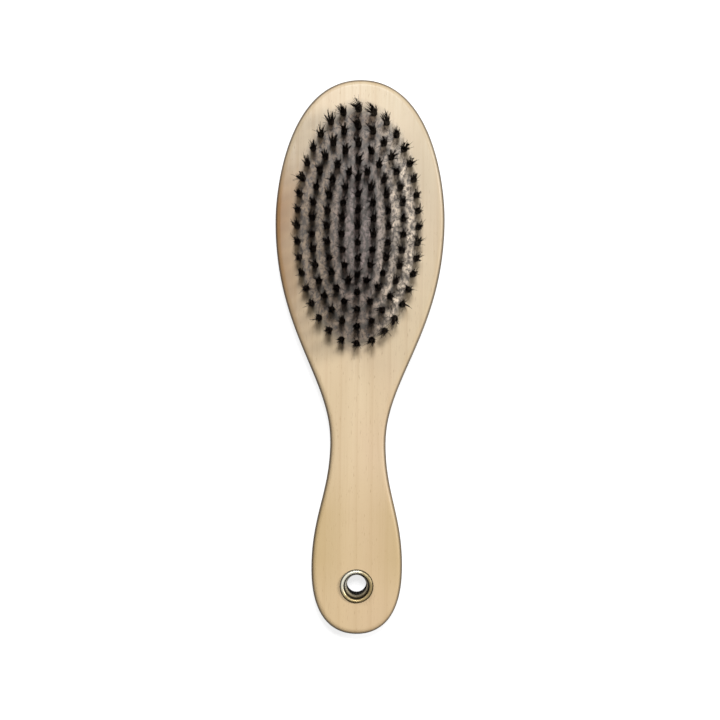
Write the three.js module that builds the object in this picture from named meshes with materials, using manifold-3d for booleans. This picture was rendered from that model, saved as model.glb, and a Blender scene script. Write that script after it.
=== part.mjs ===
// A wooden bristle brush for pets: a flat paddle with an oval field of bristle tufts and a hanging eyelet.
// Units are millimetres. The brush lies on its back on z = 0, +Y runs from the handle to the head,
// +Z is the bristle side, and the origin is the middle of the paddle's length and width, on its back.

import * as THREE from "three";
import { mergeVertices } from "three/addons/utils/BufferGeometryUtils.js";
import Module from "manifold-3d";

const wasm = await Module();
wasm.setup();

// ---- Driving dimensions ----

// Paddle. Each widest or narrowest place of the edge has a half width, a distance along the brush, and how
// far the edge keeps straight on either side of it before it bends away.
const LENGTH = 220;
const THICKNESS = 14;
const EDGE_RADIUS = 2.2;
const EDGE_STEPS = 3;
const OUTLINE_STEPS = 12;
const CROWN_FLAT = 27.6;
const HEAD = { half: 33.6, y: 54.2, up: 16.1, down: 43.8 };
const NECK = { half: 11, y: -33.8, up: 25.3, down: 20.3 };
const GRIP = { half: 18, y: -83.6, up: 21.3, down: 20.4 };
const BUTT_FLAT = 9.1;

// Bristle field: closed rings of tufts inside one another, round a straight row of tufts.
const FIELD_CENTRE = new THREE.Vector2(-0.9, 51.7);
const FIELD_HALF_LENGTH = 46.4;
const FIELD_HALF_WIDTH = 24;
const OUTER_RING_TUFTS = 36;
const RING_NAMES = ["outer_ring", "second_ring", "third_ring", "inner_ring"];
const RING_STEP_LENGTH = 6.8;
const RING_STEP_WIDTH = 5.9;
const RING_STEP_TUFTS = 6;
const ROW_TUFTS = 7;

// One tuft, and the blind hole that it is anchored in.
const TUFT_HEIGHT = 15;
const TUFT_ROOT_RADIUS = 1.1;
const TUFT_TIP_RADIUS = 1.7;
const TUFT_DOME = 0.6;
const TUFT_SIDES = 6;
const HOLE_DEPTH = 8;
const BRIDGE_HEIGHT = 10;
const BRIDGE_SIZE = 0.8;

// Hanging eyelet, whose bore opens out into a funnel at the bristle face, and the washer behind it.
const EYELET_Y = -90.8;
const BORE_RADIUS = 3.9;
const MOUTH_RADIUS = 4.9;
const FUNNEL_DEPTH = 5;
const BARREL_WALL = 0.4;
const FLANGE_RADIUS = 6.7;
const FLANGE_RISE = 1;
const FLANGE_STEPS = 6;
const LIP_RADIUS = 5.5;
const LIP_RISE = 0.35;
const LIP_STEPS = 4;
const WASHER_RADIUS = 6.7;
const WASHER_THICKNESS = 0.6;
const SPOT_FACE_DEPTH = 1.2;
const ROUND_SIDES = 24;

// Room between neighbouring pieces: round a piece in its hole, and between two faces that rest on each other.
const CLEARANCE = 0.3;
const FACE_GAP = 0.1;

// How far a cutter reaches past the face that it goes in by.
const OVERSHOOT = 1;

// ---- Solids ----

/** Closed solid with merged vertices, made from a closed geometry. */
function solidFrom(geometry) {
  const bare = geometry.clone();
  bare.deleteAttribute("normal");
  bare.deleteAttribute("uv");
  const merged = mergeVertices(bare);
  const mesh = new wasm.Mesh({
    numProp: 3,
    vertProperties: new Float32Array(merged.attributes.position.array),
    triVerts: new Uint32Array(merged.index.array),
  });
  return new wasm.Manifold(mesh);
}

/** Geometry of a solid, with flat-shaded normals. */
function geometryFrom(solid) {
  const mesh = solid.getMesh();
  const geometry = new THREE.BufferGeometry();
  geometry.setAttribute("position", new THREE.BufferAttribute(mesh.vertProperties, mesh.numProp));
  geometry.setIndex(new THREE.BufferAttribute(mesh.triVerts, 1));
  geometry.computeVertexNormals();
  return geometry;
}

/** Closed cylinder standing along +Z, from one height to another. Its top may be wider than its bottom. */
function uprightCylinder(radius, bottom, top, sides, topRadius = radius) {
  const geometry = new THREE.CylinderGeometry(topRadius, radius, top - bottom, sides);
  geometry.rotateX(Math.PI / 2);
  geometry.translate(0, 0, (bottom + top) / 2);
  return geometry;
}

/** Profile of (radius, height) points turned about the Z axis. */
function turned(profile, sides) {
  const geometry = new THREE.LatheGeometry(profile, sides);
  geometry.rotateX(Math.PI / 2);
  return geometry;
}

// ---- Paddle ----

/** Right-hand edge of the paddle, from the crown of the head down to the butt of the handle. */
function rightEdge() {
  const end = LENGTH / 2;
  const edge = new THREE.Path();
  edge.moveTo(0, end);
  edge.bezierCurveTo(CROWN_FLAT, end, HEAD.half, HEAD.y + HEAD.up, HEAD.half, HEAD.y);
  edge.bezierCurveTo(HEAD.half, HEAD.y - HEAD.down, NECK.half, NECK.y + NECK.up, NECK.half, NECK.y);
  edge.bezierCurveTo(NECK.half, NECK.y - NECK.down, GRIP.half, GRIP.y + GRIP.up, GRIP.half, GRIP.y);
  edge.bezierCurveTo(GRIP.half, GRIP.y - GRIP.down, BUTT_FLAT, -end, 0, -end);
  return edge.getPoints(OUTLINE_STEPS);
}

/** Flat paddle with rounded edges, lying on z = 0. */
function paddleBlank() {
  const right = rightEdge();
  const left = right.slice(1, -1).reverse().map((point) => new THREE.Vector2(-point.x, point.y));
  const geometry = new THREE.ExtrudeGeometry(new THREE.Shape([...right, ...left]), {
    depth: THICKNESS - 2 * EDGE_RADIUS,
    bevelThickness: EDGE_RADIUS,
    bevelSize: EDGE_RADIUS,
    bevelOffset: -EDGE_RADIUS,
    bevelSegments: EDGE_STEPS,
  });
  geometry.translate(0, 0, EDGE_RADIUS);
  return solidFrom(geometry);
}

/** Paddle with its tuft holes, its eyelet hole and the shallow seat that the washer lies in. */
function woodBody(feet) {
  const barrelHole = BORE_RADIUS + BARREL_WALL + CLEARANCE;
  const seat = WASHER_RADIUS + CLEARANCE;
  const funnelBottom = THICKNESS - FUNNEL_DEPTH;
  const funnelSlope = (MOUTH_RADIUS - BORE_RADIUS) / FUNNEL_DEPTH;
  const funnelTop = THICKNESS + OVERSHOOT;
  const funnelHole = barrelHole + (funnelTop - funnelBottom) * funnelSlope;
  const cutters = [
    uprightCylinder(barrelHole, -OVERSHOOT, funnelTop, ROUND_SIDES),
    uprightCylinder(barrelHole, funnelBottom, funnelTop, ROUND_SIDES, funnelHole),
    uprightCylinder(seat, -OVERSHOOT, SPOT_FACE_DEPTH, ROUND_SIDES),
  ];
  cutters.forEach((cutter) => cutter.translate(0, EYELET_Y, 0));
  for (const foot of feet) {
    const hole = uprightCylinder(TUFT_ROOT_RADIUS + CLEARANCE, -HOLE_DEPTH, OVERSHOOT, TUFT_SIDES);
    cutters.push(hole.translate(foot.x, foot.y, foot.z));
  }
  const body = cutters.reduce((solid, cutter) => solid.subtract(solidFrom(cutter)), paddleBlank());
  return geometryFrom(body);
}

// ---- Tufts ----

/** Foot of a tuft: where it leaves the bristle face, for a place measured from the middle of the field. */
function tuftFoot(place) {
  return new THREE.Vector3(FIELD_CENTRE.x + place.x, FIELD_CENTRE.y + place.y, THICKNESS);
}

/** Feet of one ring's tufts, evenly spaced along its ellipse from the end nearest the crown. */
function ringFeet(ring) {
  const halfLength = FIELD_HALF_LENGTH - ring * RING_STEP_LENGTH;
  const halfWidth = FIELD_HALF_WIDTH - ring * RING_STEP_WIDTH;
  const count = OUTER_RING_TUFTS - ring * RING_STEP_TUFTS;
  const start = Math.PI / 2;
  const ellipse = new THREE.EllipseCurve(0, 0, halfWidth, halfLength, start, start + 2 * Math.PI);
  return ellipse.getSpacedPoints(count).slice(0, count).map(tuftFoot);
}

/** Feet of the straight row of tufts in the middle of the field, from the end nearest the crown. */
function rowFeet() {
  const halfLength = FIELD_HALF_LENGTH - RING_NAMES.length * RING_STEP_LENGTH;
  return Array.from({ length: ROW_TUFTS }, (_, index) => {
    const along = halfLength * (1 - (2 * index) / (ROW_TUFTS - 1));
    return tuftFoot(new THREE.Vector2(0, along));
  });
}

/** One tuft: a bundle that stands in its hole and widens a little towards its domed tip. */
function tuft(foot) {
  const profile = [
    new THREE.Vector2(0, -HOLE_DEPTH + FACE_GAP),
    new THREE.Vector2(TUFT_ROOT_RADIUS, -HOLE_DEPTH + CLEARANCE),
    new THREE.Vector2(TUFT_ROOT_RADIUS, 0),
    new THREE.Vector2(TUFT_TIP_RADIUS, TUFT_HEIGHT - TUFT_DOME),
    new THREE.Vector2(0, TUFT_HEIGHT),
  ];
  return solidFrom(turned(profile, TUFT_SIDES).translate(foot.x, foot.y, foot.z));
}

/** Thin bar of bristles that have strayed from one tuft to its neighbour, which holds the two together. */
function bridge(from, to) {
  const geometry = new THREE.BoxGeometry(from.distanceTo(to), BRIDGE_SIZE, BRIDGE_SIZE);
  geometry.rotateZ(Math.atan2(to.y - from.y, to.x - from.x));
  geometry.translate((from.x + to.x) / 2, (from.y + to.y) / 2, THICKNESS + BRIDGE_HEIGHT);
  return solidFrom(geometry);
}

/** Neighbouring tufts joined in a chain. */
function tuftGroup(feet) {
  let solid = tuft(feet[0]);
  for (let index = 1; index < feet.length; index++) {
    solid = solid.add(tuft(feet[index])).add(bridge(feet[index - 1], feet[index]));
  }
  return geometryFrom(solid);
}

/** Tufts taken two by two, with an odd one out joined to the last two. */
function inPairs(feet) {
  const groups = [];
  for (let index = 0; index + 1 < feet.length; index += 2) {
    groups.push(feet.slice(index, index + 2));
  }
  if (feet.length % 2 === 1) {
    groups.at(-1).push(feet.at(-1));
  }
  return groups;
}

// ---- Eyelet and washer ----

/** Half ellipse of (radius, height) points that bulges up or down between two radii at one height. */
function bulge(fromRadius, toRadius, height, rise, steps) {
  const middle = (fromRadius + toRadius) / 2;
  const reach = (fromRadius - toRadius) / 2;
  return Array.from({ length: steps + 1 }, (_, step) => {
    const angle = (Math.PI * step) / steps;
    return new THREE.Vector2(middle + reach * Math.cos(angle), height + rise * Math.sin(angle));
  });
}

/** Eyelet: a rolled flange round a funnel, a barrel through the handle, and a lip splayed out at the back. */
function eyelet() {
  const flangeSeat = THICKNESS + FACE_GAP;
  const funnelBottom = THICKNESS - FUNNEL_DEPTH;
  const lipSeat = SPOT_FACE_DEPTH - WASHER_THICKNESS - 2 * FACE_GAP;
  const barrelRadius = BORE_RADIUS + BARREL_WALL;
  const profile = [
    new THREE.Vector2(barrelRadius, lipSeat),
    new THREE.Vector2(barrelRadius, funnelBottom),
    new THREE.Vector2(MOUTH_RADIUS + BARREL_WALL, flangeSeat),
    ...bulge(FLANGE_RADIUS, MOUTH_RADIUS, flangeSeat, FLANGE_RISE, FLANGE_STEPS),
    new THREE.Vector2(BORE_RADIUS, funnelBottom),
    ...bulge(BORE_RADIUS, LIP_RADIUS, lipSeat, -LIP_RISE, LIP_STEPS),
    new THREE.Vector2(barrelRadius, lipSeat),
  ];
  return geometryFrom(solidFrom(turned(profile, ROUND_SIDES)));
}

/** Flat washer between the eyelet's lip and its seat in the back of the handle. */
function washer() {
  const top = SPOT_FACE_DEPTH - FACE_GAP;
  const inner = BORE_RADIUS + BARREL_WALL + CLEARANCE;
  const profile = [
    new THREE.Vector2(inner, top - WASHER_THICKNESS),
    new THREE.Vector2(WASHER_RADIUS, top - WASHER_THICKNESS),
    new THREE.Vector2(WASHER_RADIUS, top),
    new THREE.Vector2(inner, top),
    new THREE.Vector2(inner, top - WASHER_THICKNESS),
  ];
  return geometryFrom(solidFrom(turned(profile, ROUND_SIDES)));
}

// ---- Materials and assembly ----

const wood = new THREE.MeshStandardMaterial({ color: 0xe0cba6, roughness: 0.55, metalness: 0 });
const bristle = new THREE.MeshStandardMaterial({ color: 0x20140e, roughness: 0.5, metalness: 0 });
const brass = new THREE.MeshStandardMaterial({ color: 0xb39a63, roughness: 0.3, metalness: 1 });

/** Named mesh with a material of its own. */
function piece(name, geometry, material) {
  const mesh = new THREE.Mesh(geometry, material.clone());
  mesh.name = name;
  return mesh;
}

const rings = RING_NAMES.map((name, ring) => ({ name, feet: ringFeet(ring) }));
const rows = [...rings, { name: "centre_row", feet: rowFeet() }];
const allFeet = rows.flatMap((row) => row.feet);

const brush = new THREE.Group();
brush.add(piece("wood_body", woodBody(allFeet), wood));

for (const row of rows) {
  inPairs(row.feet).forEach((feet, index) => {
    const number = String(index + 1).padStart(2, "0");
    brush.add(piece(`${row.name}_tufts_${number}`, tuftGroup(feet), bristle));
  });
}

const hangingEyelet = piece("hanging_eyelet", eyelet(), brass);
const eyeletWasher = piece("eyelet_washer", washer(), brass);
hangingEyelet.position.y = EYELET_Y;
eyeletWasher.position.y = EYELET_Y;
brush.add(hangingEyelet, eyeletWasher);

export default brush;
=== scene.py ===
"""The looks of a wooden bristle brush with a hanging eyelet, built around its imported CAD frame.

Everything is in metres and in the frame's axes: the brush lies on its back on z = 0, +Y runs from the
handle to the head and +Z is the bristle side. Shapes start from the CAD nodes: the paddle's outline, the
place and height of every tuft, and the sizes of the eyelet and its washer are all read from their meshes.
"""

import math
import random

import bmesh
import bpy
from mathutils import Matrix, Vector
from mathutils.geometry import delaunay_2d_cdt


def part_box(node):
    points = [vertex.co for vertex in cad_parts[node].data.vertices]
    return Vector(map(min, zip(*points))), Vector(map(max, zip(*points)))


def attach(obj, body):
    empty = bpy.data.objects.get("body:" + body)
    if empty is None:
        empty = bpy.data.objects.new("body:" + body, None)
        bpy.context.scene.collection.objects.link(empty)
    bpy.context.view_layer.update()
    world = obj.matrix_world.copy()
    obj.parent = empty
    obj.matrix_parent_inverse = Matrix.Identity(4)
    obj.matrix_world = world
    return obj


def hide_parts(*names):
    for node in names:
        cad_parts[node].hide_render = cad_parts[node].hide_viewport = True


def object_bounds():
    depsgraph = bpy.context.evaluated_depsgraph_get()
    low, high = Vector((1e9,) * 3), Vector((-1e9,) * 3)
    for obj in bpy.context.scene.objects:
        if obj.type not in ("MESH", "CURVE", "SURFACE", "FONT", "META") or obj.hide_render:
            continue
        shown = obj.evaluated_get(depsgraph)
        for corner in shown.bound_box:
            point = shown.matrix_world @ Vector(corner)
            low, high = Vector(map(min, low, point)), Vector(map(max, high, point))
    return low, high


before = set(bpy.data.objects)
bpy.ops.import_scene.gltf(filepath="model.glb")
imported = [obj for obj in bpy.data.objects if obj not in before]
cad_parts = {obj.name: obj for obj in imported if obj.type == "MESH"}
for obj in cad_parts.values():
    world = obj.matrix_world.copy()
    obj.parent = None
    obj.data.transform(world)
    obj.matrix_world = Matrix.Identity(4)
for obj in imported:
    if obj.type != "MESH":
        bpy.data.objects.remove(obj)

CAD_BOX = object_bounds()
MM = 0.001
TINY = 0.02 * MM  # measures of the CAD that differ by less than this count as the same
MICRON_DIGITS = 6  # decimals that a length in metres needs to be right to a micrometre

# ---- What the frame says ----


def cad_points(node):
    """Corner points of a CAD node's mesh."""
    return [vertex.co.copy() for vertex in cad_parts[node].data.vertices]


WOOD_LOW, WOOD_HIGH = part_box("wood_body")
WOOD_MIDDLE = (WOOD_LOW + WOOD_HIGH) / 2
WOOD_HALF = WOOD_HIGH - WOOD_MIDDLE
BACK_Z = WOOD_LOW.z
FACE_Z = WOOD_HIGH.z
WOOD_POINTS = cad_points("wood_body")
EDGE_RADIUS = min(p.z for p in WOOD_POINTS if p.y > WOOD_HIGH.y - TINY) - BACK_Z

EYELET_LOW, EYELET_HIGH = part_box("hanging_eyelet")
EYELET_AXIS = ((EYELET_LOW + EYELET_HIGH) / 2).xy
WASHER_LOW, WASHER_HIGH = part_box("eyelet_washer")


def reach(point, centre=EYELET_AXIS):
    """Distance of a point from an upright axis."""
    return (point.xy - centre).length


EYELET_POINTS = cad_points("hanging_eyelet")
FLANGE_RADIUS = (EYELET_HIGH.x - EYELET_LOW.x) / 2
BORE_RADIUS = min(reach(p) for p in EYELET_POINTS)
MOUTH_RADIUS = min(reach(p) for p in EYELET_POINTS if p.z > FACE_Z)
FUNNEL_Z = max(p.z for p in EYELET_POINTS if reach(p) < BORE_RADIUS + TINY)
LIP_RADIUS = max(reach(p) for p in EYELET_POINTS if p.z < WASHER_LOW.z)
WASHER_RADIUS = (WASHER_HIGH.x - WASHER_LOW.x) / 2
WASHER_HOLE_RADIUS = min(reach(p) for p in cad_points("eyelet_washer"))
BARREL_HOLE_RADIUS = min(reach(p) for p in WOOD_POINTS)
MOUTH_HOLE_RADIUS = min(reach(p) for p in WOOD_POINTS if p.z > FACE_Z - TINY)
SPOT_FACE_RADIUS = max(reach(p) for p in WOOD_POINTS if reach(p) < WASHER_RADIUS + MM)
SPOT_FACE_Z = max(p.z for p in WOOD_POINTS if abs(reach(p) - SPOT_FACE_RADIUS) < TINY)

TUFT_NODES = sorted(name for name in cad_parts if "_tufts_" in name)
TUFT_SPACING = 3 * MM  # two end points nearer than this belong to one tuft
END_RELIEF = 0.3 * MM  # how far the lowest and highest points of a node's tufts may differ


def tuft_ends(node, top):
    """The tips (or the buried ends) of a node's tufts: its highest (or lowest) points, one for each tuft."""
    points = sorted(cad_points(node), key=lambda p: p.z, reverse=top)
    ends = []
    for point in points:
        if abs(point.z - points[0].z) > END_RELIEF:
            break
        if all(reach(point, end.xy) > TUFT_SPACING for end in ends):
            ends.append(point)
    return ends


class Tuft:
    """One upright tuft: its CAD node, its ring, its foot on the face, and how far it goes down and up."""

    def __init__(self, node, buried, tip):
        self.node = node
        self.ring = node.split("_tufts_")[0]
        self.foot = Vector((buried.x, buried.y, FACE_Z))
        self.depth = FACE_Z - buried.z
        self.height = tip.z - FACE_Z


def read_tufts():
    """Every tuft in the frame, node by node."""
    tufts = []
    for node in TUFT_NODES:
        tips = tuft_ends(node, top=True)
        for buried in tuft_ends(node, top=False):
            tip = min(tips, key=lambda t: (t - buried).length)
            tufts.append(Tuft(node, buried, tip))
    return tufts


TUFTS = read_tufts()
CAD_HOLE_SIDES = 6
CAD_HOLE_CORNER = min((p - TUFTS[0].foot).length for p in WOOD_POINTS if abs(p.z - FACE_Z) < TINY)
HOLE_RADIUS = CAD_HOLE_CORNER * math.cos(math.pi / CAD_HOLE_SIDES)  # touches the sides of the CAD's hole


def level_box(tufts):
    """Middle and half size of the level box round the feet of some tufts."""
    low = Vector([min(tuft.foot[i] for tuft in tufts) for i in range(2)])
    high = Vector([max(tuft.foot[i] for tuft in tufts) for i in range(2)])
    return (low + high) / 2, (high - low) / 2


FIELD_CENTRE, FIELD_HALF = level_box(TUFTS)
_, SECOND_HALF = level_box([tuft for tuft in TUFTS if tuft.ring == "second_ring"])

# ---- Mesh helpers ----


def new_piece(name, mesh, material, replaces=()):
    """A piece with one material that rides on the brush and stands for the given CAD nodes."""
    mesh.materials.append(material)
    piece = bpy.data.objects.new(name, mesh)
    bpy.context.scene.collection.objects.link(piece)
    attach(piece, "root")
    if replaces:
        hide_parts(*replaces)
    return piece


def smooth_mesh(name, verts, faces):
    """Smoothly shaded mesh from points and faces."""
    mesh = bpy.data.meshes.new(name)
    mesh.from_pydata(verts, [], faces)
    mesh.shade_smooth()
    return mesh


def taken_from(bm, name):
    """Smoothly shaded mesh made from a bmesh, with its faces turned outwards if it is closed."""
    bmesh.ops.recalc_face_normals(bm, faces=bm.faces)
    mesh = bpy.data.meshes.new(name)
    bm.to_mesh(mesh)
    bm.free()
    mesh.shade_smooth()
    return mesh


def polar(radius, angle):
    """Level point at a distance and an angle."""
    return Vector((radius * math.cos(angle), radius * math.sin(angle), 0))


def circle(bm, centre, radius, count):
    """Ring of vertices round a level circle, counter-clockwise from above."""
    return [bm.verts.new(centre + polar(radius, 2 * math.pi * i / count)) for i in range(count)]


def ring_edges(ring):
    """Neighbouring pairs of a closed ring."""
    return list(zip(ring, ring[1:] + ring[:1]))


def bridge_rings(bm, lower, upper):
    """Quads between two closed rings of vertices."""
    for (a, b), (c, d) in zip(ring_edges(lower), ring_edges(upper)):
        bm.faces.new((a, b, d, c))


def crease(bm, ring):
    """Makes the edges of a ring crisp."""
    for pair in ring_edges(ring):
        bm.edges.get(pair).smooth = False


# ---- Paddle ----

OUTLINE_STEPS = 4  # points for each stretch between two corners of the CAD's outline
EDGE_STEPS = 10
FLAT_STRIP = 0.4 * MM  # level strip between an edge's rounding and the filled face
TUFT_HOLE_SIDES = 24
EYELET_HOLE_SIDES = 72
TUFT_HOLE_CHAMFER = 0.1 * MM
DRILL_POINT = 0.4 * MM  # height of the cone that the drill leaves
CDT_TRIANGLES_WITH_HOLES = 2  # the kind of result that delaunay_2d_cdt gives
SAME_POINT = TINY / 100  # corners nearer than this would be joined


def outline_corners():
    """Corners of the CAD paddle's side wall, clockwise from the crown as seen from the bristles."""
    wall_z = BACK_Z + EDGE_RADIUS
    wall = [p for p in WOOD_POINTS if abs(p.z - wall_z) < TINY]
    corners = {(round(p.x, MICRON_DIGITS), round(p.y, MICRON_DIGITS)) for p in wall}
    right = sorted((c for c in corners if c[0] >= 0), key=lambda c: -c[1])
    left = sorted((c for c in corners if c[0] < 0), key=lambda c: c[1])
    return [Vector(c) for c in right + left]


def smooth_outline():
    """A smooth closed curve through the outline's corners, as finely spaced points."""
    corners = outline_corners()
    pairs = ring_edges(corners)
    gaps = [(end - start).length for start, end in pairs]
    slopes = [(end - start) / gap for (start, end), gap in zip(pairs, gaps)]
    tangents = []
    for i, gap in enumerate(gaps):
        before = gaps[i - 1]
        tangents.append((slopes[i - 1] * gap + slopes[i] * before) / (before + gap))
    points = []
    for (start, end), (leave, arrive), gap in zip(pairs, ring_edges(tangents), gaps):
        for step in range(OUTLINE_STEPS):
            t = step / OUTLINE_STEPS
            from_ends = start * (2 * t**3 - 3 * t**2 + 1) + end * (3 * t**2 - 2 * t**3)
            from_slopes = leave * (t**3 - 2 * t**2 + t) + arrive * (t**3 - t**2)
            points.append(from_ends + from_slopes * gap)
    return points


def inward_normals(points):
    """Unit normals into a clockwise outline."""
    normals = []
    for before, after in zip(points[-1:] + points[:-1], points[1:] + points[:1]):
        along = (after - before).normalized()
        normals.append(Vector((along.y, -along.x)))
    return normals


def edge_rows():
    """(inset, height) of each row of the paddle's side, from the back face round to the bristle face."""
    angles = [math.pi / 2 * i / EDGE_STEPS for i in range(EDGE_STEPS + 1)]
    r = EDGE_RADIUS
    back = [(r - r * math.sin(a), BACK_Z + r - r * math.cos(a)) for a in angles]
    front = [(r - r * math.cos(a), FACE_Z - r + r * math.sin(a)) for a in angles]
    return [(r + FLAT_STRIP, BACK_Z), *back, *front, (r + FLAT_STRIP, FACE_Z)]


def fill_flat(bm, outer, holes):
    """Level face inside one ring of vertices and outside the others, with crisp borders round the holes."""
    rings = [outer, *holes]
    verts = [vert for ring in rings for vert in ring]
    borders = []
    first = 0
    for ring in rings:
        borders.append(list(range(first, first + len(ring))))
        first += len(ring)
    flat = [vert.co.xy for vert in verts]
    _, _, faces, origins, _, _ = delaunay_2d_cdt(flat, [], borders, CDT_TRIANGLES_WITH_HOLES, SAME_POINT)
    for face in faces:
        bm.faces.new([verts[origins[corner][0]] for corner in face])
    for ring in holes:
        crease(bm, ring)


def drill_blind(bm, tuft):
    """A round hole with a broken mouth and a cone at its end. Returns the ring of vertices at its mouth."""
    sizes = [
        (HOLE_RADIUS + TUFT_HOLE_CHAMFER, 0),
        (HOLE_RADIUS, TUFT_HOLE_CHAMFER),
        (HOLE_RADIUS, tuft.depth / 2),
        (HOLE_RADIUS, tuft.depth),
    ]
    rings = []
    for radius, depth in sizes:
        rings.append(circle(bm, tuft.foot - Vector((0, 0, depth)), radius, TUFT_HOLE_SIDES))
    for upper, lower in zip(rings, rings[1:]):
        bridge_rings(bm, upper, lower)
    end = bm.verts.new(tuft.foot - Vector((0, 0, tuft.depth + DRILL_POINT)))
    for a, b in ring_edges(rings[-1]):
        bm.faces.new((a, b, end))
    return rings[0]


def drill_through(bm):
    """The eyelet's hole with its seat in the back. Returns its rings at the bristle face and at the back."""
    sizes = [
        (MOUTH_HOLE_RADIUS, FACE_Z),
        (BARREL_HOLE_RADIUS, FUNNEL_Z),
        (BARREL_HOLE_RADIUS, SPOT_FACE_Z),
        (SPOT_FACE_RADIUS, SPOT_FACE_Z),
        (SPOT_FACE_RADIUS, BACK_Z),
    ]
    rings = []
    for radius, height in sizes:
        rings.append(circle(bm, Vector((*EYELET_AXIS, height)), radius, EYELET_HOLE_SIDES))
    for upper, lower in zip(rings, rings[1:]):
        bridge_rings(bm, upper, lower)
    front, _, seat_inside, seat_outside, back = rings
    crease(bm, seat_inside)
    crease(bm, seat_outside)
    return front, back


def make_paddle(material):
    """The wooden paddle with rounded edges, a round blind hole for every tuft and the eyelet's hole."""
    bm = bmesh.new()
    outline = smooth_outline()
    normals = inward_normals(outline)
    rows = []
    for inset, height in edge_rows():
        points = [p + n * inset for p, n in zip(outline, normals)]
        rows.append([bm.verts.new((point.x, point.y, height)) for point in points])
    for lower, upper in zip(rows, rows[1:]):
        bridge_rings(bm, lower, upper)
    front_hole, back_hole = drill_through(bm)
    tuft_holes = [drill_blind(bm, tuft) for tuft in TUFTS]
    fill_flat(bm, rows[-1], [front_hole, *tuft_holes])
    fill_flat(bm, rows[0], [back_hole])
    new_piece("wooden_paddle", taken_from(bm, "wooden_paddle"), material, ["wood_body"])


# ---- Bristles and their staples ----

BRISTLE_SEED = 7
BRISTLES_PER_TUFT = 42  # each is folded in half, so a tuft shows twice as many ends
BRISTLE_RADIUS = 0.12 * MM
BRISTLE_TIP_RADIUS = 0.04 * MM
BRISTLE_TAPER_CURVE = 3  # a bristle tapers mostly near its tip
BRISTLE_SIDES = 5
BRISTLE_GAP = 0.03 * MM  # left free between the bristles and the wall of their hole
PACKED_RADIUS = HOLE_RADIUS - BRISTLE_RADIUS - BRISTLE_GAP
FOLD_NARROWING = 0.9  # how much narrower a tuft is where it is folded
FOLD_LIFTS = (0.12 * MM, 0.3 * MM)  # how far above the bottom of the hole the bristles are folded
FOLD_HEIGHT = 0.5 * MM  # above the bottom of the hole, where a bristle's two halves turn upright
ROOT_NARROWING = 0.95  # how much narrower a tuft is there than where it stands free of the staple
ROOT_DEPTH = 1 * MM  # where the bristles stand free of the staple, below the face

TIP_SPREAD = 1.6  # how much wider a tuft is at its tips than in its hole
TIP_JITTER = 0.15 * MM
LOCK_RADII = (1.3 * MM, 2.7 * MM)  # where the bristles' tips gather into pointed locks
LOCK_COUNTS = (4, 5, 6)
LOCK_TURN = 0.3  # how far a lock may be turned from its even place, as a share of the space between two
LOCK_PULL = (0.35, 0.75)  # the share of its way to its lock that a tip is moved
TUFT_LEAN = 0.9 * MM  # how far a tuft as a whole may lean
LEAN_SHARES = (0.1, 1.25)  # how much of its tuft's lean a bristle may have
LEAN_LOWERING = 0.15  # how much lower a tip is for how far it leans
TRIM = 0.22 * MM  # how unevenly the tips are cut
STRAY_SHARE = 0.25  # of the bristle ends, which stand apart and lower
STRAY_REACH = 2.3 * MM
STRAY_DROP = 3.5 * MM
HEIGHT_STEPS = (0.12, 0.35, 0.6, 0.82, 1.0)  # where a bristle has points, as shares of its height
SPREAD_CURVE = 1.5  # a bristle spreads and leans mostly near its tip
LEAN_CURVE = 1.8

STAPLE_THICKNESS = 0.28 * MM
STAPLE_HEIGHT = 1.4 * MM
STAPLE_BITE = 0.35 * MM  # how far each of its ends goes into the wood
STAPLE_ROUNDING = STAPLE_THICKNESS / 4
STAPLE_LIFT = 0.4 * MM  # above the bottom of the hole


def in_field(across, along):
    """Point of the bristle field from shares of its half width and half length."""
    return FIELD_CENTRE + Vector((across * FIELD_HALF.x, along * FIELD_HALF.y))


# Where bristles have been pushed over: the middle of the patch, how far it reaches, and how far tips lean.
COMBED = [
    (in_field(0.3, 1.0), 17 * MM, Vector((-2.6, 1.5, 0)) * MM),
    (in_field(0.6, -0.85), 14 * MM, Vector((-1.8, -2.4, 0)) * MM),
]


class Strands:
    """Round tapered strands gathered into one mesh, each with a tone of its own."""

    def __init__(self):
        self.verts = []
        self.faces = []
        self.tones = []
        self.alongs = []

    def add(self, path, radii, alongs, tone):
        """Adds a strand along a path. Each point has its radius and its share of the way to the tip."""
        first = len(self.verts)
        side = (path[1] - path[0]).orthogonal()
        befores, afters = path[:1] + path, path[1:] + path[-1:]
        for point, before, after, radius, along in zip(path, befores, afters, radii, alongs):
            tangent = (after - before).normalized()
            side = (side - tangent * side.dot(tangent)).normalized()
            other = tangent.cross(side)
            for k in range(BRISTLE_SIDES):
                angle = 2 * math.pi * k / BRISTLE_SIDES
                self.verts.append(point + (side * math.cos(angle) + other * math.sin(angle)) * radius)
                self.tones.append(tone)
                self.alongs.append(along)
        rings = [list(range(i, i + BRISTLE_SIDES)) for i in range(first, len(self.verts), BRISTLE_SIDES)]
        for lower, upper in zip(rings, rings[1:]):
            for (a, b), (c, d) in zip(ring_edges(lower), ring_edges(upper)):
                self.faces.append((a, b, d, c))
        self.faces.append(rings[0][::-1])
        self.faces.append(rings[-1])

    def mesh(self, name):
        """The strands as one smoothly shaded mesh, with each point's tone and its place along its strand."""
        mesh = smooth_mesh(name, self.verts, self.faces)
        for label, values in (("tone", self.tones), ("along", self.alongs)):
            mesh.attributes.new(label, "FLOAT", "POINT").data.foreach_set("value", values)
        return mesh


def in_disc(rng, radius):
    """A random level point in a disc."""
    return polar(radius * math.sqrt(rng.random()), rng.uniform(0, 2 * math.pi))


def combed_over(tuft):
    """How far the tips of a tuft have been pushed over."""
    lean = Vector((0, 0, 0))
    for middle, patch_reach, full_lean in COMBED:
        lean += full_lean * max(0, 1 - reach(tuft.foot, middle) / patch_reach)
    return lean


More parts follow.
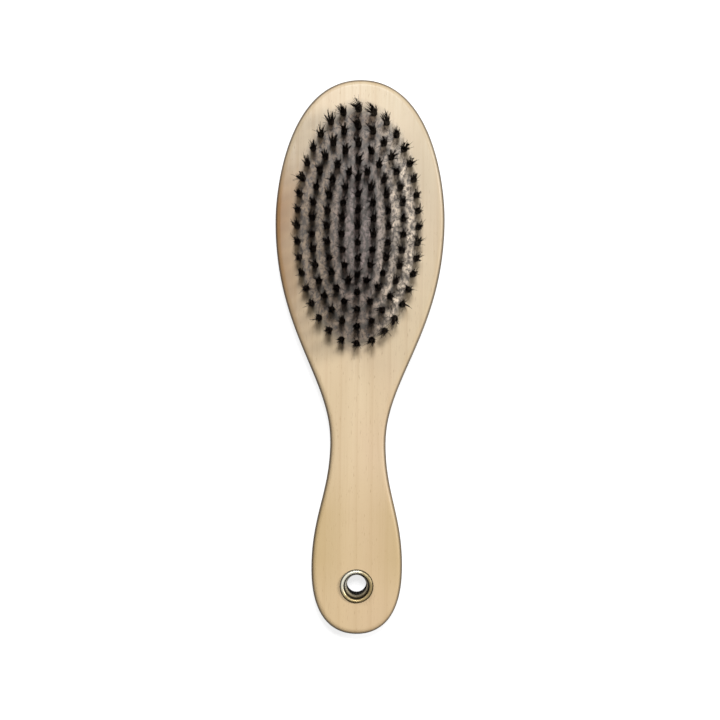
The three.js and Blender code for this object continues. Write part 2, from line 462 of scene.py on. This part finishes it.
def tip_locks(rng):
    """Level places, measured from a tuft's axis, where its tips gather: the middle and a ring round it."""
    count = rng.choice(LOCK_COUNTS)
    start = rng.uniform(0, 2 * math.pi)
    locks = [Vector((0, 0, 0))]
    for k in range(count):
        angle = start + 2 * math.pi * (k + rng.uniform(-LOCK_TURN, LOCK_TURN)) / count
        locks.append(polar(rng.uniform(*LOCK_RADII), angle))
    return locks


def make_tuft(name, tuft, staple_angle, rng, material):
    """A tuft of bristles, each folded under the staple and standing up on both sides of it."""
    staple = polar(1, staple_angle)
    across = polar(1, staple_angle + math.pi / 2)
    up = Vector((0, 0, 1))
    locks = tip_locks(rng)
    pull = rng.uniform(*LOCK_PULL)
    lean = combed_over(tuft) + in_disc(rng, TUFT_LEAN)
    strands = Strands()

    def leg(root):
        """Points of one half of a bristle, from just above its fold to its tip."""
        end = root * TIP_SPREAD + in_disc(rng, TIP_JITTER)
        lock = min(locks, key=lambda place: (place - end).length)
        end = end.lerp(lock, pull)
        shift = lean * rng.uniform(*LEAN_SHARES)
        height = tuft.height + rng.gauss(0, TRIM) - shift.length * LEAN_LOWERING
        if rng.random() < STRAY_SHARE:
            shift += in_disc(rng, STRAY_REACH)
            height -= rng.uniform(0, STRAY_DROP)
        points = [tuft.foot + root * ROOT_NARROWING - up * (tuft.depth - FOLD_HEIGHT)]
        points.append(tuft.foot + root - up * ROOT_DEPTH)
        for share in HEIGHT_STEPS:
            level = root.lerp(end, share**SPREAD_CURVE) + shift * share**LEAN_CURVE
            points.append(tuft.foot + level + up * height * share)
        return points

    for _ in range(BRISTLES_PER_TUFT):
        place = in_disc(rng, PACKED_RADIUS)
        beside = max(abs(place.y), STAPLE_THICKNESS / 2 + BRISTLE_RADIUS)
        fold_depth = tuft.depth - rng.uniform(*FOLD_LIFTS)
        fold = tuft.foot + staple * place.x * FOLD_NARROWING - up * fold_depth
        near, far = leg(staple * place.x - across * beside), leg(staple * place.x + across * beside)
        path = near[::-1] + [fold] + far
        half = len(far)
        alongs = [abs(i - half) / half for i in range(len(path))]
        tapers = [along**BRISTLE_TAPER_CURVE for along in alongs]
        radii = [BRISTLE_RADIUS + (BRISTLE_TIP_RADIUS - BRISTLE_RADIUS) * taper for taper in tapers]
        strands.add(path, radii, alongs, rng.random())
    new_piece(name, strands.mesh(name), material, [tuft.node])


def staple_solid(bm, tuft, angle):
    """Adds the flat wire that pins a tuft, with its ends pressed into the wood beside the hole."""
    size = (2 * (HOLE_RADIUS + STAPLE_BITE), STAPLE_THICKNESS, STAPLE_HEIGHT)
    centre = tuft.foot + Vector((0, 0, STAPLE_LIFT + STAPLE_HEIGHT / 2 - tuft.depth))
    place = Matrix.LocRotScale(centre, Matrix.Rotation(angle, 3, "Z"), Vector(size))
    made = bmesh.ops.create_cube(bm, size=1, matrix=place)
    edges = {edge for vert in made["verts"] for edge in vert.link_edges}
    bmesh.ops.bevel(bm, geom=list(edges), offset=STAPLE_ROUNDING, segments=2, affect="EDGES")


def make_bristle_field(bristle, wire):
    """Every tuft as a piece of its own, and the staples of each ring as one piece."""
    rings = {}
    for tuft in TUFTS:
        rings.setdefault(tuft.ring, []).append(tuft)
    rng = random.Random(BRISTLE_SEED)
    for ring, tufts in rings.items():
        staples = bmesh.new()
        for number, tuft in enumerate(tufts, start=1):
            staple_angle = rng.uniform(0, math.pi)
            make_tuft(f"{ring}_tuft_{number:02d}", tuft, staple_angle, rng, bristle)
            staple_solid(staples, tuft, staple_angle)
        name = f"{ring}_staples"
        new_piece(name, taken_from(staples, name), wire)


# ---- Eyelet and washer ----

SHEET = 0.35 * MM  # thickness of the eyelet's metal
ROUND_STEPS = 96
FLANGE_STEPS = 24
LIP_STEPS = 16
BARREL_STEPS = 8
WASHER_CORNER = 0.15 * MM
CORNER_STEPS = 4


def thickened(line, thickness):
    """Closed (radius, height) profile of a sheet that follows an open line, with rounded ends."""
    half = thickness / 2
    befores, afters = line[:1] + line, line[1:] + line[-1:]
    alongs = [(after - before).normalized() for before, after in zip(befores, afters)]
    normals = [Vector((along.y, -along.x)) for along in alongs]
    right = [point + normal * half for point, normal in zip(line, normals)]
    left = [point - normal * half for point, normal in zip(line, normals)]

    def cap(point, side, forward):
        """Half round from one side of the sheet to the other."""
        angles = [math.pi * k / CORNER_STEPS for k in range(1, CORNER_STEPS)]
        return [point + (side * math.cos(a) + forward * math.sin(a)) * half for a in angles]

    end = cap(line[-1], normals[-1], alongs[-1])
    start = cap(line[0], -normals[0], -alongs[0])
    return right + end + left[::-1] + start


def make_turned(name, profile, material, replaces):
    """A closed (radius, height) profile turned about the eyelet's axis."""
    bm = bmesh.new()
    turns = []
    for step in range(ROUND_STEPS):
        angle = 2 * math.pi * step / ROUND_STEPS
        points = [Vector((*EYELET_AXIS, height)) + polar(radius, angle) for radius, height in profile]
        turns.append([bm.verts.new(point) for point in points])
    for here, there in ring_edges(turns):
        bridge_rings(bm, here, there)
    new_piece(name, taken_from(bm, name), material, [replaces])


def half_bulge(from_radius, to_radius, height, rise, steps):
    """Half ellipse of (radius, height) points that bulges up or down between two radii at one height."""
    middle, arm = (from_radius + to_radius) / 2, (from_radius - to_radius) / 2
    angles = [math.pi * i / steps for i in range(steps + 1)]
    return [Vector((middle + arm * math.cos(a), height + rise * math.sin(a))) for a in angles]


def make_eyelet(material):
    """The eyelet's thin sheet: a rolled flange, a funnel, a barrel and a lip rolled out over the washer."""
    half = SHEET / 2
    bore = BORE_RADIUS + half
    mouth = MOUTH_RADIUS + half
    seat = FACE_Z + half
    lip_seat = WASHER_LOW.z - half
    flange = half_bulge(FLANGE_RADIUS - half, mouth, seat, EYELET_HIGH.z - seat - half, FLANGE_STEPS)
    lip = half_bulge(bore, LIP_RADIUS - half, lip_seat, EYELET_LOW.z + half - lip_seat, LIP_STEPS)
    throat = Vector((bore, FUNNEL_Z))
    funnel = [flange[-1].lerp(throat, i / BARREL_STEPS) for i in range(1, BARREL_STEPS)]
    barrel = [throat.lerp(lip[0], i / BARREL_STEPS) for i in range(BARREL_STEPS)]
    line = flange + funnel + barrel + lip
    make_turned("brass_eyelet", thickened(line, SHEET), material, "hanging_eyelet")


def make_washer(material):
    """The flat ring under the eyelet's lip, with softened corners."""
    soft = WASHER_CORNER
    outer, inner = WASHER_RADIUS - soft, WASHER_HOLE_RADIUS + soft
    low, high = WASHER_LOW.z + soft, WASHER_HIGH.z - soft
    corners = [(outer, low), (outer, high), (inner, high), (inner, low)]
    profile = []
    for corner, (radius, height) in enumerate(corners):
        for k in range(CORNER_STEPS + 1):
            angle = math.pi / 2 * (corner - 1 + k / CORNER_STEPS)
            profile.append(Vector((radius + soft * math.cos(angle), height + soft * math.sin(angle))))
    make_turned("brass_washer", profile, material, "eyelet_washer")


# ---- Materials ----


def srgb(red, green, blue):
    """Linear colour from display values of 0 to 255."""

    def linear(value):
        value /= 255
        return value / 12.92 if value <= 0.04045 else ((value + 0.055) / 1.055) ** 2.4

    return (linear(red), linear(green), linear(blue), 1)


# Numbers of a Mix node's sockets for colours, which share their names with those for other kinds of value.
MIX_FIRST = 6
MIX_SECOND = 7
MIX_RESULT = 2


class Nodes:
    """Short ways to build a material's node tree. A value is a number or the output of another node."""

    def __init__(self, name):
        self.material = bpy.data.materials.new(name)
        self.material.use_nodes = True
        self.tree = self.material.node_tree
        self.shader = self.tree.nodes["Principled BSDF"]

    def feed(self, socket, value):
        """Links an output to a socket, or sets the socket's own value."""
        if isinstance(value, bpy.types.NodeSocket):
            self.tree.links.new(value, socket)
        else:
            socket.default_value = value

    def give(self, name, value):
        """Sets or links an input of the material's shader."""
        self.feed(self.shader.inputs[name], value)

    def add(self, kind, inputs, **settings):
        """A node with its settings, and with its inputs linked or set by name or number."""
        node = self.tree.nodes.new(kind)
        for key, value in settings.items():
            setattr(node, key, value)
        for key, value in inputs.items():
            self.feed(node.inputs[key], value)
        return node

    def place(self, scale=(1, 1, 1), shift=(0, 0, 0)):
        """Object position, scaled and then shifted along each axis."""
        coords = self.add("ShaderNodeTexCoord", {}).outputs["Object"]
        inputs = {"Vector": coords, "Scale": scale, "Location": shift}
        return self.add("ShaderNodeMapping", inputs).outputs["Vector"]

    def split(self, vector):
        """The X, Y and Z outputs of a vector."""
        return self.add("ShaderNodeSeparateXYZ", {"Vector": vector}).outputs

    def in_box(self, middle, half):
        """Where a place is across and along a level box: 0 in its middle, and 1 or -1 on its sides."""
        scale = (1 / half.x, 1 / half.y, 0)
        shift = (-middle.x / half.x, -middle.y / half.y, 0)
        across, along, _ = self.split(self.place(scale, shift))
        return across, along

    def noise(self, scale, detail=3, roughness=0.5, distortion=0):
        """Noise with so many cycles per millimetre along each axis."""
        inputs = {"Vector": self.place(Vector(scale) / MM), "Scale": 1, "Detail": detail}
        inputs |= {"Roughness": roughness, "Distortion": distortion}
        return self.add("ShaderNodeTexNoise", inputs).outputs["Fac"]

    def maths(self, operation, first, second=0.0):
        """One sum of a Math node."""
        return self.add("ShaderNodeMath", {0: first, 1: second}, operation=operation).outputs[0]

    def times(self, first, second):
        """The product of two values."""
        return self.maths("MULTIPLY", first, second)

    def unsigned(self, value):
        """A value without its sign."""
        return self.maths("ABSOLUTE", value)

    def ramp(self, value, ends, results=(0, 1)):
        """Goes from one result to the other as a value goes from end to end, and stays level beyond them."""
        inputs = {"Value": value, "From Min": ends[0], "From Max": ends[1]}
        inputs |= {"To Min": results[0], "To Max": results[1]}
        return self.add("ShaderNodeMapRange", inputs).outputs["Result"]

    def mix(self, share, first, second):
        """Two colours mixed by a share of the second."""
        inputs = {"Factor": share, MIX_FIRST: first, MIX_SECOND: second}
        return self.add("ShaderNodeMix", inputs, data_type="RGBA").outputs[MIX_RESULT]

    def bump(self, height, distance, strength):
        """Normal of a surface that a height makes uneven."""
        inputs = {"Height": height, "Distance": distance, "Strength": strength}
        return self.add("ShaderNodeBump", inputs).outputs["Normal"]


# ---- Wood ----

HANDLE_WOOD = srgb(222, 194, 152)
CROWN_WOOD = srgb(222, 204, 172)
BAND_TONE = srgb(206, 180, 140)
BLUSH_TONE = srgb(219, 186, 156)
RING_TONE = srgb(190, 156, 112)
FIBRE_TONE = srgb(190, 160, 118)
FLECK_TONE = srgb(150, 112, 74)
# partly the wood's own darker streak, partly painted shadow of the bristles
STREAK_AND_SHADOW_TONE = srgb(172, 128, 80)
HANDLED_TONE = srgb(194, 166, 112)
# painted shade: darkens the right side of the crown, where the lamps light it most
CROWN_SHADE_TONE = srgb(196, 178, 146)
END_GRAIN_TONE = srgb(180, 142, 98)
# painted shade for the rounded edges and side walls
EDGE_SHADE_TONE = srgb(76, 60, 42)

# The wood's patterns in cycles per millimetre along each axis. The grain runs along the brush.
BANDS = (0.10, 0.008, 0.10)
BLUSH = (0.035, 0.018, 0.035)
GROWTH_RINGS = (0.05, 0.0012, 0.05)
FIBRES = (2.6, 0.05, 2.6)
FLECKS = (3.4, 0.42, 3.4)
STREAK_EDGE = (0.02, 0.03, 0.02)
FLUFF = (0.8, 0.55, 0.8)
# blotches of painted shadow among the tufts
SHADE_BLOTCHES = (0.13, 0.07, 0.13)

# Where the wood's tones set in, as shares of its half width (across) or its half length (along).
LENGTH_BLEND = (-0.864, 0.864)
STREAK_ACROSS = (-0.982, -0.476)
STREAK_WANDER = (-0.119, 0.119)
STREAK_START = (-0.045, 0.227)
STREAK_END = (0.545, 0.745)
GRIP_ACROSS = (0.089, 0.446)
GRIP_START = (-0.873, -0.727)
GRIP_END = (-0.564, -0.382)
# where the painted shade on the right side of the crown sets in
CROWN_SHADE_ACROSS = (0.149, 0.744)
CROWN_SHADE_ALONG = (0.364, 0.818)

# Dust and fluff among the tufts, each with its hollows' tone and its clumps' tone. The tones are also
# painted shade and light: dark among the tufts, and lit paler on the right.
LEFT_DUST_AND_SHADE = (srgb(60, 46, 36), srgb(168, 142, 114))
MIDDLE_DUST_AND_SHADE = (srgb(56, 45, 43), srgb(168, 146, 142))
OUTER_DUST_AND_SHADE = (srgb(56, 45, 43), srgb(164, 139, 117))
RIGHT_DUST_AND_LIGHT = (srgb(74, 62, 52), srgb(244, 224, 200))
# painted shadow of the tufts, along their rings and in blotches
TUFT_SHADE = srgb(22, 17, 13)

# Where the kinds of dust and painted light and shade meet, as shares of the field's half width or of the way
# out to its outermost ring.
LEFT_DUST_AND_SHADE_ACROSS = (-0.629, -0.129)
RIGHT_DUST_AND_LIGHT_ACROSS = (0.204, 0.662)
OUTER_DUST_AND_SHADE_OUT = (0.3, 0.9)
DUST_AND_SHADE_END = (0.95, 1.1)

DUST_AND_SHADE_DEPTHS = (3 * MM, 1 * MM)  # below the face: where the dust and painted shade set in and where they are full
EDGE_SHADE_FADE = 4 * MM  # how far down the side wall an edge's painted shade fades


def growth_rings(n):
    """Long wavering lines along the grain."""
    inputs = {"Vector": n.place(Vector(GROWTH_RINGS) / MM), "Scale": 1}
    inputs |= {"Distortion": 3, "Detail": 3, "Detail Scale": 1.2}
    rings = n.add("ShaderNodeTexWave", inputs, wave_type="BANDS", bands_direction="X", wave_profile="SAW")
    return rings.outputs["Fac"]


def bare_wood(n, bands, fibres, flecks):
    """Colour of the wood itself: warmer at the handle, with soft bands, growth rings, fibres and flecks."""
    _, along = n.in_box(WOOD_MIDDLE, WOOD_HALF)
    colour = n.mix(n.ramp(along, LENGTH_BLEND), HANDLE_WOOD, CROWN_WOOD)
    colour = n.mix(n.ramp(bands, (0.35, 0.65), (0, 0.45)), colour, BAND_TONE)
    blush = n.noise(BLUSH, detail=2)
    colour = n.mix(n.ramp(blush, (0.45, 0.75), (0, 0.4)), colour, BLUSH_TONE)
    colour = n.mix(n.ramp(growth_rings(n), (0.72, 1), (0, 0.22)), colour, RING_TONE)
    colour = n.mix(n.ramp(fibres, (0.5, 0.75), (0, 0.25)), colour, FIBRE_TONE)
    return n.mix(n.ramp(flecks, (0.68, 0.76), (0, 0.35)), colour, FLECK_TONE)


def used_and_shaded_wood(n, colour):
    """Wood with a brown streak left of the bristles, partly painted shadow of the tufts, a handled grip, and
    painted shade on the right side of its crown.
    """
    across, along = n.in_box(WOOD_MIDDLE, WOOD_HALF)
    wander = n.ramp(n.noise(STREAK_EDGE, detail=2), (0.3, 0.7), STREAK_WANDER)
    # the brown streak left of the bristles: a wood streak and painted shadow of the tufts
    on_left = n.ramp(n.maths("ADD", across, wander), STREAK_ACROSS, (0.95, 0))
    beside_field = n.times(n.ramp(along, STREAK_START, (0.15, 1)), n.ramp(along, STREAK_END, (1, 0.1)))
    colour = n.mix(n.times(on_left, beside_field), colour, STREAK_AND_SHADOW_TONE)
    on_grip = n.times(n.ramp(along, GRIP_START, (0.3, 1)), n.ramp(along, GRIP_END, (1, 0)))
    handled = n.times(n.ramp(n.unsigned(across), GRIP_ACROSS, (0.2, 0.6)), on_grip)
    colour = n.mix(handled, colour, HANDLED_TONE)
    # painted shade on the right side of the crown
    crown_shade = n.times(n.ramp(across, CROWN_SHADE_ACROSS, (0, 0.7)), n.ramp(along, CROWN_SHADE_ALONG, (0.15, 1)))
    return n.mix(crown_shade, colour, CROWN_SHADE_TONE)


def field_place(n):
    """Where a place is in the bristle field: across it, as a share of the way out from the middle to the
    outermost ring of tufts, and in rings counted inwards from that ring."""
    across, along = n.in_box(FIELD_CENTRE, FIELD_HALF)
    across_squared, along_squared = n.times(across, across), n.times(along, along)
    squares = n.maths("ADD", across_squared, along_squared)
    way_out = n.maths("SQRT", squares)
    step_across = n.times(across_squared, 1 - SECOND_HALF.x / FIELD_HALF.x)
    step_along = n.times(along_squared, 1 - SECOND_HALF.y / FIELD_HALF.y)
    ring_step = n.maths("DIVIDE", n.maths("ADD", step_across, step_along), squares)
    rings_in = n.maths("DIVIDE", n.maths("SUBTRACT", 1, way_out), ring_step)
    return across, way_out, rings_in


def dust_and_shade_colour(n, across, way_out, rings_in):
    """Colour of the dust with painted light and shade: lit paler on the right, greyer in the middle, and
    with painted shadow along every ring of tufts and in blotches.
    """
    clumps = n.ramp(n.noise(FLUFF, detail=4, roughness=0.65), (0.4, 0.6))
    kinds = (LEFT_DUST_AND_SHADE, MIDDLE_DUST_AND_SHADE, OUTER_DUST_AND_SHADE, RIGHT_DUST_AND_LIGHT)
    left, middle, outer, right = [n.mix(clumps, *tones) for tones in kinds]
    colour = n.mix(n.ramp(way_out, OUTER_DUST_AND_SHADE_OUT), middle, outer)
    colour = n.mix(n.ramp(across, RIGHT_DUST_AND_LIGHT_ACROSS), colour, right)
    colour = n.mix(n.ramp(across, LEFT_DUST_AND_SHADE_ACROSS), left, colour)
    # painted shadow of the tufts along every ring, and in blotches
    ring_wave = n.maths("COSINE", n.times(rings_in, 2 * math.pi))
    along_rings = n.ramp(ring_wave, (-0.3, 1), (0, 0.75))
    shade_blotches = n.ramp(n.noise(SHADE_BLOTCHES), (0.5, 0.68), (0, 0.55))
    return n.mix(n.maths("MAXIMUM", along_rings, shade_blotches), colour, TUFT_SHADE)


def dusty_and_shaded_wood(n, colour):
    """Wood with dust and fluff, and painted shade, on its face among the tufts."""
    across, way_out, rings_in = field_place(n)
    _, _, z = n.split(n.place())
    among_tufts = n.ramp(way_out, DUST_AND_SHADE_END, (0.92, 0))
    on_face = n.ramp(z, [FACE_Z - depth for depth in DUST_AND_SHADE_DEPTHS])
    # dust, painted shade among the tufts and painted light on their right
    dust_and_shade = dust_and_shade_colour(n, across, way_out, rings_in)
    return n.mix(n.times(among_tufts, on_face), colour, dust_and_shade)


def end_grain_and_edge_shade_wood(n, colour, bands):
    """Wood with darker end grain, and with painted shade on both rounded edges that fades down the side
    wall.
    """
    _, endwise, upright = n.split(n.add("ShaderNodeNewGeometry", {}).outputs["Normal"])
    colour = n.mix(n.ramp(n.unsigned(endwise), (0.3, 1), (0, 0.4)), colour, END_GRAIN_TONE)
    _, _, z = n.split(n.place())
    from_middle = n.unsigned(n.maths("SUBTRACT", z, WOOD_MIDDLE.z))
    edge = WOOD_HALF.z - EDGE_RADIUS
    near_edge = n.ramp(from_middle, (edge - EDGE_SHADE_FADE, edge), (0.22, 0.86))
    on_side = n.ramp(n.unsigned(upright), (0.62, 0.88), (1, 0))
    patchy = n.ramp(bands, (0.3, 0.6), (0.8, 1))
    # painted shade on the rounded edges
    return n.mix(n.times(n.times(near_edge, on_side), patchy), colour, EDGE_SHADE_TONE)


def wood_material():
    """Pale close-grained wood under a thin satin lacquer, marked by years of use, with painted shade on its
    edges, among and beside the tufts and on its crown's right.
    """
    n = Nodes("pale_wood")
    bands = n.noise(BANDS, distortion=0.4)
    fibres = n.noise(FIBRES, detail=5, roughness=0.6)
    flecks = n.noise(FLECKS, detail=1, roughness=0.4)
    colour = bare_wood(n, bands, fibres, flecks)
    colour = used_and_shaded_wood(n, colour)
    colour = dusty_and_shaded_wood(n, colour)
    colour = end_grain_and_edge_shade_wood(n, colour, bands)
    n.give("Base Color", colour)
    n.give("Roughness", n.ramp(fibres, (0.3, 0.7), (0.4, 0.55)))
    relief = n.maths("SUBTRACT", n.times(fibres, 0.6), n.times(flecks, 0.4))
    n.give("Normal", n.bump(relief, distance=0.04 * MM, strength=0.5))
    n.give("Coat Weight", 0.2)
    n.give("Coat Roughness", 0.3)
    return n.material


# ---- Bristle ----

BLACK_HAIR = srgb(5, 4, 3)
BROWN_HAIR = srgb(32, 20, 15)
HAIR_TIP = srgb(86, 62, 44)


def bristle_material():
    """Stiff natural bristle, near black, with a few browner hairs and slightly paler tips."""
    n = Nodes("dark_bristle")
    tone = n.add("ShaderNodeAttribute", {}, attribute_name="tone").outputs["Fac"]
    along = n.add("ShaderNodeAttribute", {}, attribute_name="along").outputs["Fac"]
    colour = n.mix(n.ramp(tone, (0.3, 1)), BLACK_HAIR, BROWN_HAIR)
    colour = n.mix(n.ramp(along, (0.85, 1), (0, 0.1)), colour, HAIR_TIP)
    n.give("Base Color", colour)
    n.give("Roughness", 0.42)
    n.give("Specular IOR Level", 0.2)
    return n.material


# ---- Brass ----

BRASS = srgb(222, 204, 156)
TARNISHED_BRASS = srgb(160, 134, 86)
BRASS_SPECK = srgb(84, 62, 34)
# painted shade for the eyelet's lower right and a painted highlight for its upper left
BRASS_SIDE_SHADE = srgb(142, 116, 70)
BRASS_SIDE_HIGHLIGHT = srgb(252, 248, 228)
RUBBED_BRASS = srgb(255, 250, 232)
# grime, and painted shade in the eyelet's mouth and bore
BRASS_GRIME_AND_SHADE = srgb(26, 18, 8)
STAPLE_WIRE = srgb(196, 172, 118)
TARNISHED_WIRE = srgb(156, 132, 84)

# The metal's patterns in cycles per millimetre along each axis.
TARNISH = (0.45, 0.45, 0.45)
SPECKS = (2.8, 2.8, 2.8)
TURNING_MARKS = (5, 5, 0.6)
WIRE_STREAKS = (3, 3, 12)


def eyelet_place(n):
    """Where a place is round the eyelet: its distance from the axis, its side and its height.

    The side goes from -1.4 on the lower right, seen from the bristles, to 1.4 on the upper left."""
    x, y, z = n.split(n.place(shift=(-EYELET_AXIS.x, -EYELET_AXIS.y, 0)))
    radius = n.maths("SQRT", n.maths("ADD", n.times(x, x), n.times(y, y)))
    side = n.maths("DIVIDE", n.maths("SUBTRACT", y, x), radius)
    return radius, side, z


def mm_from(measure, start, end):
    """Two ends, given in millimetres from a measure."""
    return measure + start * MM, measure + end * MM


def eyelet_grime_and_shade(n, radius, z):
    """Share of grime and painted shade: grime and painted shadow on the flange's outer rim, and painted
    shade on both sides of the mouth's edge and deep in the bore.
    """
    rim = n.ramp(radius, mm_from(FLANGE_RADIUS, -0.7, -0.3), (0, 0.9))
    from_mouth = n.unsigned(n.maths("SUBTRACT", radius, MOUTH_RADIUS))
    mouth = n.ramp(from_mouth, (0.15 * MM, 0.5 * MM), (0.98, 0))
    in_front = n.ramp(z, mm_from(FUNNEL_Z, 0, 1))
    deep = n.ramp(z, mm_from(FUNNEL_Z, 0.2, 1.2), (0.98, 0))
    in_bore = n.ramp(radius, mm_from(BORE_RADIUS, 0.2, 0.4), (1, 0))
    on_edges = n.times(n.maths("MAXIMUM", rim, mouth), in_front)
    return n.maths("MAXIMUM", on_edges, n.times(deep, in_bore))


def brass_material():
    """Rolled brass with an uneven tarnish, a painted highlight on its upper left and painted shade on its
    lower right, and grime and painted shade in its corners.
    """
    n = Nodes("aged_brass")
    radius, side, z = eyelet_place(n)
    tarnish = n.noise(TARNISH, detail=4, roughness=0.6)
    colour = n.mix(n.ramp(tarnish, (0.42, 0.68), (0, 0.8)), BRASS, TARNISHED_BRASS)
    specks = n.noise(SPECKS, detail=2)
    colour = n.mix(n.ramp(specks, (0.62, 0.75), (0, 0.6)), colour, BRASS_SPECK)
    # painted shade on the lower right and a painted highlight on the upper left
    colour = n.mix(n.ramp(side, (-1.2, 0.2), (0.6, 0)), colour, BRASS_SIDE_SHADE)
    colour = n.mix(n.ramp(side, (0.3, 1.2), (0, 0.95)), colour, BRASS_SIDE_HIGHLIGHT)
    rubbed = n.times(n.ramp(radius, mm_from(MOUTH_RADIUS, -0.6, -0.3), (0.7, 0)), tarnish)
    colour = n.mix(rubbed, colour, RUBBED_BRASS)
    # grime and painted shade on the rim, at the mouth and deep in the bore
    grime_and_shade = eyelet_grime_and_shade(n, radius, z)
    n.give("Base Color", n.mix(grime_and_shade, colour, BRASS_GRIME_AND_SHADE))
    n.give("Metallic", 0.35)
    n.give("Specular IOR Level", 0.25)
    roughness = n.ramp(tarnish, (0.3, 0.7), (0.22, 0.4))
    n.give("Roughness", n.maths("MAXIMUM", roughness, n.times(grime_and_shade, 0.7)))
    n.give("Normal", n.bump(n.noise(TURNING_MARKS), distance=0.02 * MM, strength=0.35))
    return n.material


def staple_material():
    """Drawn flat wire."""
    n = Nodes("staple_wire")
    n.give("Base Color", n.mix(n.noise(WIRE_STREAKS, detail=2), STAPLE_WIRE, TARNISHED_WIRE))
    n.give("Metallic", 1.0)
    n.give("Roughness", 0.35)
    return n.material


# ---- Floor, light and camera ----

VIEW_WIDTH = 288 * MM  # what the camera frames, at the height of the paddle
CAMERA_HEIGHT = 715 * MM
CAMERA_FOOT = Vector((0.5, -1.2)) * MM  # where the camera stands, from the middle of the brush
CAMERA_ROLL = math.radians(0.56)
SENSOR_WIDTH = 36  # in millimetres, like the lens
FLOOR_REACH = 1.5  # from the middle of the floor to each side
FLOOR_TONE = srgb(176, 176, 176)
FLOOR_GLOW = 0.78  # added to what the camera sees of the floor, so that it comes out nearly white
WHITE = (1, 1, 1, 1)
WORLD_STRENGTH = 0.065

# Square lamps. Bearings, from +X towards +Y, and elevations are in degrees, and powers in watts.
LAMPS = {
    "key": {"bearing": 86, "elevation": 72, "distance": 2.5, "size": 0.38, "power": 34.5},
    "side": {"bearing": 16, "elevation": 35, "distance": 2.5, "size": 0.75, "power": 37},
    "sparkle": {"bearing": 132, "elevation": 34, "distance": 2.0, "size": 1.0, "power": 10},
}


def make_floor():
    """A plain pale floor just under the brush, which looks nearly white to the camera."""
    bm = bmesh.new()
    bmesh.ops.create_grid(bm, size=FLOOR_REACH)
    n = Nodes("pale_floor")
    n.give("Base Color", FLOOR_TONE)
    n.give("Roughness", 0.9)
    n.give("Emission Color", WHITE)
    seen = n.add("ShaderNodeLightPath", {}).outputs["Is Camera Ray"]
    n.give("Emission Strength", n.times(seen, FLOOR_GLOW))
    mesh = taken_from(bm, "floor")
    mesh.materials.append(n.material)
    floor = bpy.data.objects.new("floor", mesh)
    floor.location.z = CAD_BOX[0].z - TINY
    bpy.context.scene.collection.objects.link(floor)


def make_lamp(name, bearing, elevation, distance, size, power):
    """A square lamp that shines on the middle of the brush."""
    lamp = bpy.data.lights.new(name, "AREA")
    lamp.size = size
    lamp.energy = power
    stand = bpy.data.objects.new(name, lamp)
    level = polar(math.cos(math.radians(elevation)), math.radians(bearing))
    towards = level + Vector((0, 0, math.sin(math.radians(elevation))))
    stand.location = WOOD_MIDDLE + towards * distance
    stand.rotation_euler = towards.to_track_quat("Z", "Y").to_euler()
    bpy.context.scene.collection.objects.link(stand)


def make_world():
    """A dim even surround, which looks white to the camera."""
    world = bpy.data.worlds.new("surround")
    world.use_nodes = True
    tree = world.node_tree
    strength = tree.nodes.new("ShaderNodeMath")
    strength.operation = "MAXIMUM"
    strength.inputs[1].default_value = WORLD_STRENGTH
    background = tree.nodes["Background"]
    background.inputs["Color"].default_value = WHITE
    seen = tree.nodes.new("ShaderNodeLightPath").outputs["Is Camera Ray"]
    tree.links.new(seen, strength.inputs[0])
    tree.links.new(strength.outputs[0], background.inputs["Strength"])
    bpy.context.scene.world = world


def make_camera():
    """A camera straight above the middle of the brush, with a long lens."""
    data = bpy.data.cameras.new("camera")
    data.sensor_width = SENSOR_WIDTH
    data.lens = SENSOR_WIDTH * (CAMERA_HEIGHT - WOOD_MIDDLE.z) / VIEW_WIDTH
    camera = bpy.data.objects.new("camera", data)
    camera.location = (*(WOOD_MIDDLE.xy + CAMERA_FOOT), CAMERA_HEIGHT)
    camera.rotation_euler.z = CAMERA_ROLL
    bpy.context.scene.collection.objects.link(camera)
    bpy.context.scene.camera = camera
    bpy.context.scene.view_settings.view_transform = "Standard"


make_camera()
make_world()
for name, settings in LAMPS.items():
    make_lamp(name, **settings)
make_floor()
make_paddle(wood_material())
make_bristle_field(bristle_material(), staple_material())
brass = brass_material()
make_eyelet(brass)
make_washer(brass)

bpy.context.view_layer.update()
